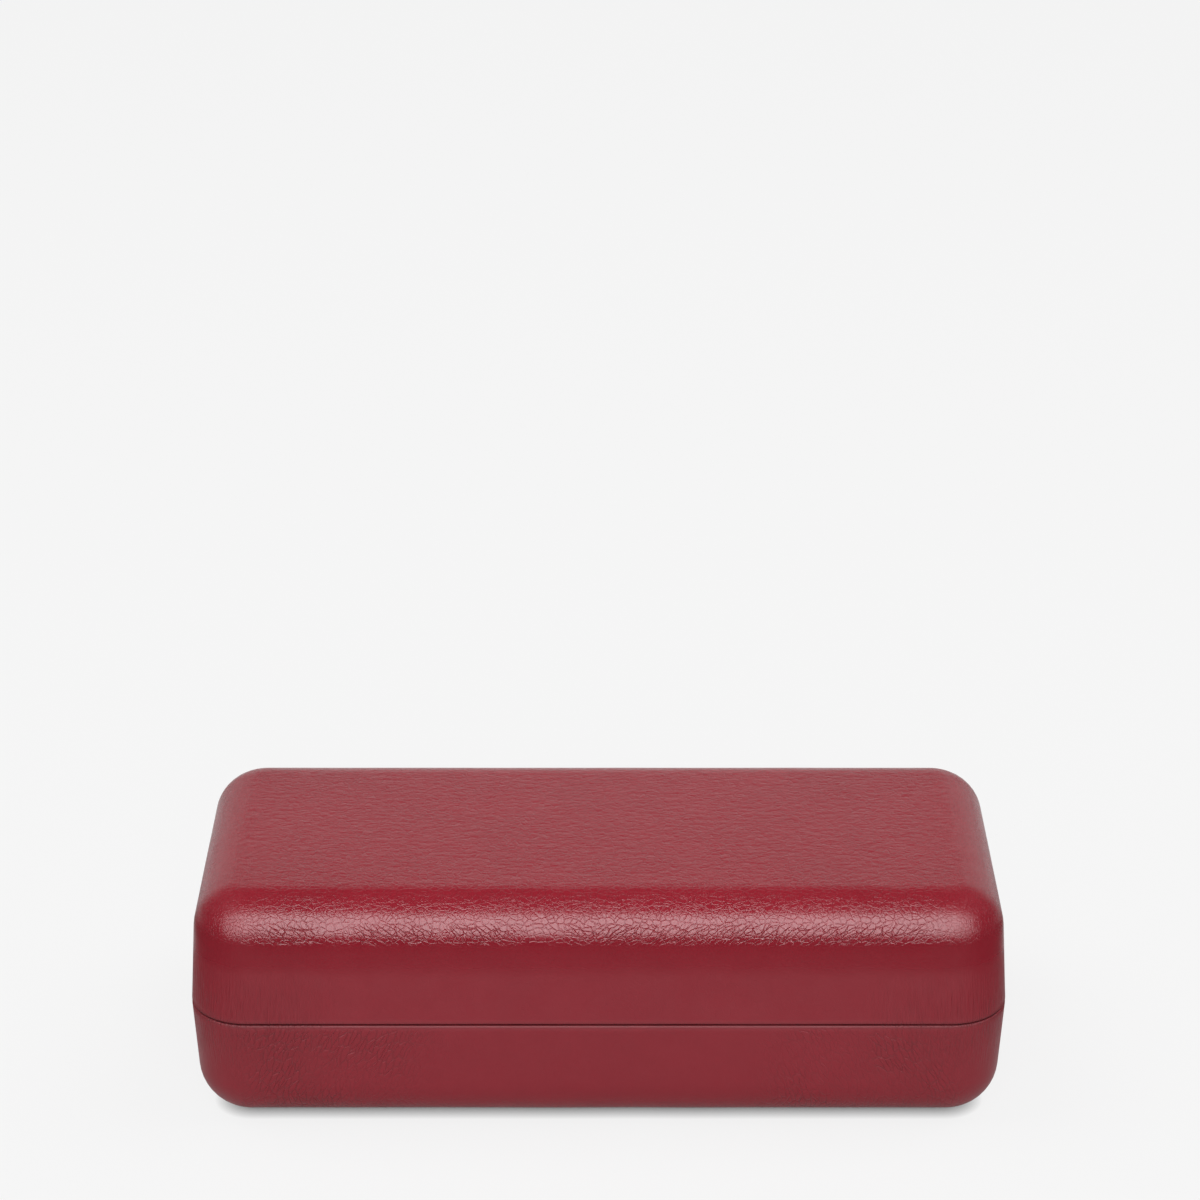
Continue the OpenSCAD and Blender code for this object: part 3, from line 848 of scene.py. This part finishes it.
def red_leather():
    f = Finish("red_leather", Roughness=0.25, IOR=1.4)
    at = Places(f)
    near_corner = f.product(f.ramp(at.around, *CORNER_ROUND), f.ramp(at.out_y, *CORNER_ACROSS))
    stretched = f.product(near_corner, f.ramp(at.off_rim, *STRETCH_STOPS))
    upright = f.add("ShaderNodeCombineXYZ", {"X": at.around, "Y": at.x, "Z": at.off_rim}).outputs[0]
    streaks = f.noise(f.stretched(upright, STREAK), 1.0, detail=2.0)

    open_share = f.ramp(at.out_x, *ENDS_CALM)
    grain, cracks = leather_grain(f, at.sheet, open_share)
    creases, steep = leather_creases(f, at, open_share)
    loose = f.math("SUBTRACT", 1.0, f.product(stretched, STRETCH_CALMS))
    patches = f.ramp(f.noise(f.place, PATCH), *PATCHES)
    calm = f.product(loose, patches, f.ramp(at.height, *GRAIN_OPENS))
    ripples = f.noise(f.stretched(at.sheet, RIPPLE), 1.0, detail=2.0)

    height = f.total(
        f.product(grain, calm),
        f.product(f.noise(f.place, PORE, detail=2.0), PORE_HEIGHT),
        f.product(streaks, stretched, STREAK_HEIGHT),
        f.product(creases, CREASE_HEIGHT),
        f.product(ripples, f.ramp(at.height, *RIPPLES_START)),
    )
    f.link(f.bump(height, GRAIN_DEPTH), "Normal")

    # Cracks and creases are painted darker as shade and made more matt.
    shaded_matt_cracks = f.math("MAXIMUM", f.product(cracks, calm), f.product(creases, CREASE_CRACK_SHARE))
    # Painted shade in the valleys of the upright streaks at the corners.
    streak_valley_shade = f.product(f.math("SUBTRACT", STREAK_MIDDLE, streaks), f.product(stretched, STREAK_SHADE))
    clouds = f.ramp(f.noise(f.place, CLOUD, detail=6.0, roughness=0.7), *CLOUDS)
    # The colour: painted shade in the streak valleys, at the end corners, in cracks and creases and along
    # the gap, with random darker clouds.
    shade_and_tone = f.total(
        f.math("MAXIMUM", streak_valley_shade, 0.0),
        f.product(near_corner, CORNER_SHADE),
        f.product(shaded_matt_cracks, CRACK_SHADE),
        f.product(steep, STEEP_SHADE),
        f.ramp(at.off_rim, *GAP_SHADOW),
    )
    shade_and_tone = f.math("ADD", shade_and_tone, clouds, clamp=True)
    f.link(f.blend(shade_and_tone, LEATHER_RED, LEATHER_SHADE_AND_CLOUD), "Base Color")

    satin = f.ramp(f.noise(f.place, SATIN_PATCH), *SATIN)
    matt = f.math("MAXIMUM", f.ramp(at.height, *MATT_WALL), f.ramp(open_share, *MATT_ENDS))
    worn = f.ramp(at.off_rim, *WORN_RIM)
    f.link(f.total(satin, f.product(shaded_matt_cracks, CRACK_MATT), matt, worn), "Roughness")
    return f.material


# %% [markdown]
# ## Suede, foam and plastic
# The suede is a dark brushed microfibre, whose nap catches light at a glance, so it has sheen and
# no gloss. The foam and the plastics are plain, with a moulding texture fine enough to dull them.

# %% Make the suede, the foam and the plastics
SUEDE_DARK = (0.022, 0.021, 0.024, 1)
SUEDE_LIGHT = (0.052, 0.049, 0.054, 1)
SUEDE_SHEEN = {"Specular IOR Level": 0.15, "Sheen Weight": 0.5, "Sheen Roughness": 0.55,
               "Sheen Tint": (0.5, 0.48, 0.5, 1)}
NAP = 0.25 * MM
NAP_DEPTH = 0.05 * MM
NAP_STRENGTH = 0.7
NAP_SHADE = 0.25
FIBRE = (2.4 * MM, 0.5 * MM, 0.7 * MM)
FIBRE_SHADE = (0.3, 0.7, 0.0, 0.4)
BRUSH = (8 * MM, 3 * MM, 4 * MM)
BRUSH_SHADE = (0.35, 0.65, 0.0, 0.35)

FOAM_GROOVE_SHADE = (0.18, 0.18, 0.2, 1)
FOAM_LIGHT = (0.36, 0.36, 0.38, 1)
FOAM_CELL = 0.6 * MM
FOAM_DEPTH = 0.15 * MM
FOAM_SHADE_WIDTH = 0.3

MOULD_TEXTURE = 0.3 * MM
MOULD_DEPTH = 0.02 * MM
MOULD_PATCH = 8 * MM
MOULD_GLOSS_PATCH = 3 * MM
MOULD_GLOSS = (0.3, 0.7, 0.42, 0.56)


def suede():
    f = Finish("charcoal_suede", Roughness=0.95)
    for key, value in SUEDE_SHEEN.items():
        f.shader.inputs[key].default_value = value
    nap = f.noise(f.place, NAP, detail=3.0, roughness=0.7)
    fibres = f.noise(f.stretched(f.place, FIBRE), 1.0, detail=3.0, roughness=0.6)
    brushed = f.noise(f.stretched(f.place, BRUSH), 1.0, detail=4.0, roughness=0.6)
    f.link(f.bump(f.total(nap, fibres), NAP_DEPTH, strength=NAP_STRENGTH), "Normal")
    shade = f.total(f.product(nap, NAP_SHADE), f.ramp(fibres, *FIBRE_SHADE), f.ramp(brushed, *BRUSH_SHADE))
    f.link(f.blend(shade, SUEDE_DARK, SUEDE_LIGHT), "Base Color")
    return f.material


def foam():
    f = Finish("grey_foam", Roughness=0.9)
    cells = f.cracks(f.place, FOAM_CELL)
    f.link(f.bump(cells, FOAM_DEPTH), "Normal")
    # Painted shade in the grooves between the foam cells.
    f.link(f.blend(f.ramp(cells, 0, FOAM_SHADE_WIDTH), FOAM_GROOVE_SHADE, FOAM_LIGHT), "Base Color")
    return f.material


def moulded_plastic(name, colour, lighter):
    f = Finish(name, Roughness=0.5)
    f.link(f.bump(f.noise(f.place, MOULD_TEXTURE, detail=2.0), MOULD_DEPTH), "Normal")
    f.link(f.blend(f.noise(f.place, MOULD_PATCH), colour, lighter), "Base Color")
    f.link(f.ramp(f.noise(f.place, MOULD_GLOSS_PATCH), *MOULD_GLOSS), "Roughness")
    return f.material


# %% [markdown]
# ## Steel
# The hinge is stamped from nickel-plated strip. Rolling leaves fine lines along its length, which
# stretch the highlights. The spring wire is drawn, so its lines are finer and its colour is cooler.

# %% Make the steels
ROLLED_LENGTH = 12 * MM
ROLLED_DEPTH = 0.006 * MM
SPECK = 1.4 * MM
SPECK_SHADE = (0.4, 0.75)
SPECK_MATT = 0.5
MATT_FROM = 0.5
MATT_TO = 1.0
LESS_MATT = 0.06
MORE_MATT = 0.12


def plated_steel(name, colour, darker, roughness, line_span):
    f = Finish(name, Metallic=1.0, Roughness=roughness)
    rolled = f.stretched(f.place, (ROLLED_LENGTH, line_span, line_span))
    lines = f.noise(rolled, 1.0, detail=4.0, roughness=0.6)
    specks = f.noise(f.place, SPECK, detail=4.0, roughness=0.65)
    f.link(f.bump(lines, ROLLED_DEPTH), "Normal")
    f.link(f.blend(f.ramp(specks, *SPECK_SHADE), colour, darker), "Base Color")
    worn = f.total(lines, f.product(specks, SPECK_MATT))
    low, high = roughness - LESS_MATT, roughness + MORE_MATT
    f.link(f.ramp(worn, MATT_FROM, MATT_TO, low, high), "Roughness")
    return f.material


# %% [markdown]
# ## Dressing the case
# Each new piece except the springs rides on the body of the solid that it stands for, and takes its
# finish. The CAD pieces whose shape is right keep their mesh.

# %% Give every piece its finish, and most new pieces their bodies
leather_finish = red_leather()
suede_finish = suede()
foam_finish = foam()
shell_finish = moulded_plastic(
    "shell_plastic", colour=(0.028, 0.028, 0.03, 1), lighter=(0.045, 0.045, 0.048, 1))
tray_finish = moulded_plastic(
    "tray_plastic", colour=(0.014, 0.014, 0.016, 1), lighter=(0.026, 0.026, 0.028, 1))
hinge_finish = plated_steel(
    "hinge_steel", colour=(0.66, 0.64, 0.6, 1), darker=(0.5, 0.48, 0.45, 1),
    roughness=0.27, line_span=0.12 * MM)
spring_finish = plated_steel(
    "spring_steel", colour=(0.5, 0.5, 0.52, 1), darker=(0.36, 0.36, 0.38, 1),
    roughness=0.24, line_span=0.06 * MM)


def dress(piece, finish, body=None, node=None):
    piece.data.materials.clear()
    piece.data.materials.append(finish)
    if node:
        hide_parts(node)
    if body:
        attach(piece, body)


dress(base_skin, leather_finish, "base", "base_leather")
dress(lid_skin, leather_finish, "lid", "lid_leather")
dress(base_lining, suede_finish, "base", "base_lining")
dress(lid_lining, suede_finish, "lid", "lid_lining")
dress(base_pad, foam_finish, "base", "base_floor_pad")
dress(lid_pad, foam_finish, "lid", "lid_top_pad")
for side, piece, node in ((1, right_spring, "hinge_spring_right"), (-1, left_spring, "hinge_spring_left")):
    dress(piece, spring_finish, None, node)
    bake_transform(piece)
for name in ("base_shell", "lid_shell"):
    dress(nodes[name], shell_finish)
for name in ("base_tray", "lid_tray"):
    dress(nodes[name], tray_finish)
for name in ("base_hinge_leaf", "lid_hinge_leaf", "base_rivets", "lid_rivets", "hinge_pin"):
    dress(nodes[name], hinge_finish)
print("finishes:", len(bpy.data.materials))

# %% [markdown]
# ## Floor and light
# The case stands on a pale sweep. A soft light in front gives the front wall its colour, and a wide
# panel beside it lights only the gloss: it draws the bright band along the rounded edge of the lid. Two
# lamps at the sides fill the colour and have no gloss. A low bright wall behind hazes the flat top, and
# it is dark straight above, which leaves the deep red line between the two.
#
# The floor shows to the camera as the pale grey of the picture, with a narrow painted shadow made by
# ambient occlusion under the edge of the case. In the gloss of the leather it shows a painted pool of
# light: bright near the case and behind it, and fading in front and to the sides.

# %% Lay the floor and hang the lights
PAPER = 0.95
BACKDROP = 0.905
FLOOR_SIZE = 8.0
FLOOR_DROP = 0.02 * MM
FLOOR_GREY = (0.62, 0.62, 0.62, 1)
OUTSIDE_POOL_GREY = (0.03, 0.03, 0.03, 1)
SHADOW_REACH = 2.4 * MM
SHADOW_SAMPLES = 12
SHADOW_POWER = 0.5
LIT_SHARE = 0.12
MIRRORED_SHARE = 0.27
# Where the painted pool of light in the floor's reflections is full, and how it fades out.
POOL_HALF = (70 * MM, 66 * MM, 0)
POOL_FADE = (95 * MM, 120 * MM, 1)
POOL_ENDS = (0.1, 1.0, 1.0, 0.05)
POOL_BEHIND = (50 * MM, 130 * MM)


def painted_light_pool(f):
    """A painted pool of light: 1 on the floor close to the case and behind it, falling to almost 0 further
    out.
    """
    reach = f.place
    for operation, vector in (("ABSOLUTE", (0, 0, 0)), ("SUBTRACT", POOL_HALF),
                              ("MAXIMUM", (0, 0, 0)), ("DIVIDE", POOL_FADE)):
        reach = f.add("ShaderNodeVectorMath", {0: reach, 1: vector}, operation=operation).outputs[0]
    reach = f.add("ShaderNodeVectorMath", {0: reach}, operation="LENGTH").outputs["Value"]
    back = f.add("ShaderNodeSeparateXYZ", {0: f.place}).outputs["Y"]
    return f.math("MAXIMUM", f.ramp(reach, *POOL_ENDS), f.ramp(back, *POOL_BEHIND))


def paper():
    """Paper that the camera sees at its own brightness with a painted shadow, and that gloss and glass see
    lit by a painted pool of light.
    """
    f = Finish("paper", Roughness=1.0)
    f.shader.inputs["Specular IOR Level"].default_value = 0.0
    rays = f.add("ShaderNodeLightPath").outputs
    mirrored = f.math("MAXIMUM", rays["Is Glossy Ray"], rays["Is Transmission Ray"])
    near = painted_light_pool(f)
    beyond = f.product(mirrored, f.math("SUBTRACT", 1.0, near))
    f.link(f.blend(beyond, FLOOR_GREY, OUTSIDE_POOL_GREY), "Base Color")
    shelter = f.add("ShaderNodeAmbientOcclusion", {"Distance": SHADOW_REACH}, samples=SHADOW_SAMPLES)
    strength = f.math("POWER", shelter.outputs["AO"], f.product(rays["Is Camera Ray"], SHADOW_POWER))
    glow = f.add("ShaderNodeEmission", {"Color": (PAPER, PAPER, PAPER, 1), "Strength": strength}).outputs[0]
    mirrored = f.product(mirrored, near, MIRRORED_SHARE)
    seen = f.product(f.total(rays["Is Camera Ray"], mirrored), 1 - LIT_SHARE)
    surface = f.add("ShaderNodeMixShader", {0: seen, 1: f.shader.outputs[0], 2: glow}).outputs[0]
    f.tree.links.new(surface, f.tree.nodes["Material Output"].inputs["Surface"])
    return f.material


bpy.ops.object.select_all(action="DESELECT")
bpy.ops.mesh.primitive_plane_add(size=FLOOR_SIZE, location=(0, 0, -FLOOR_DROP))
floor = bpy.context.object
floor.name = "floor"
bpy.ops.object.transform_apply(location=True, rotation=True, scale=True)
floor.data.materials.append(paper())

WORLD_LIGHT = 0.18
world = bpy.data.worlds.new("studio")
bpy.context.scene.world = world
world.use_nodes = True
room = world.node_tree
ambient = room.nodes["Background"]
ambient.inputs["Color"].default_value = (1, 1, 1, 1)
ambient.inputs["Strength"].default_value = WORLD_LIGHT
backdrop = room.nodes.new("ShaderNodeBackground")
backdrop.inputs["Color"].default_value = (BACKDROP, BACKDROP, BACKDROP, 1)
rays = room.nodes.new("ShaderNodeLightPath")
choose = room.nodes.new("ShaderNodeMixShader")
room.links.new(rays.outputs["Is Camera Ray"], choose.inputs[0])
room.links.new(ambient.outputs[0], choose.inputs[1])
room.links.new(backdrop.outputs[0], choose.inputs[2])
room.links.new(choose.outputs[0], room.nodes["World Output"].inputs["Surface"])


def softbox(name, azimuth, elevation, distance, width, height, power):
    """A rectangular light aimed at the case. Azimuth 0 is in front of the case and 180 behind it."""
    a, e = math.radians(azimuth), math.radians(elevation)
    away = Vector((math.sin(a) * math.cos(e), -math.cos(a) * math.cos(e), math.sin(e)))
    bpy.ops.object.select_all(action="DESELECT")
    bpy.ops.object.light_add(type="AREA", location=away * distance + Vector((0, 0, PARTING)))
    lamp = bpy.context.object
    lamp.name = name
    lamp.rotation_euler = away.to_track_quat("Z", "Y").to_euler()
    lamp.data.shape = "RECTANGLE"
    lamp.data.size = width
    lamp.data.size_y = height
    lamp.data.energy = power
    return lamp


PANEL_TINT = (0.9, 0.97, 1.0)
softbox("front_softbox", azimuth=0, elevation=38, distance=1.5, width=0.95, height=1.35, power=12.8)
gloss_panel = softbox(
    "front_gloss_panel", azimuth=0, elevation=35.5, distance=1.45, width=3.0, height=1.42, power=74.5)
gloss_panel.data.color = PANEL_TINT
gloss_panel.visible_diffuse = False
for name, azimuth in (("left_softbox", -97), ("right_softbox", 97)):
    lamp = softbox(name, azimuth, elevation=60, distance=1.5, width=0.9, height=0.9, power=9.1)
    lamp.visible_glossy = False
softbox("back_wall", azimuth=180, elevation=16, distance=1.8, width=4.0, height=1.0, power=8.8)

scene = bpy.context.scene
scene.view_settings.view_transform = "Standard"
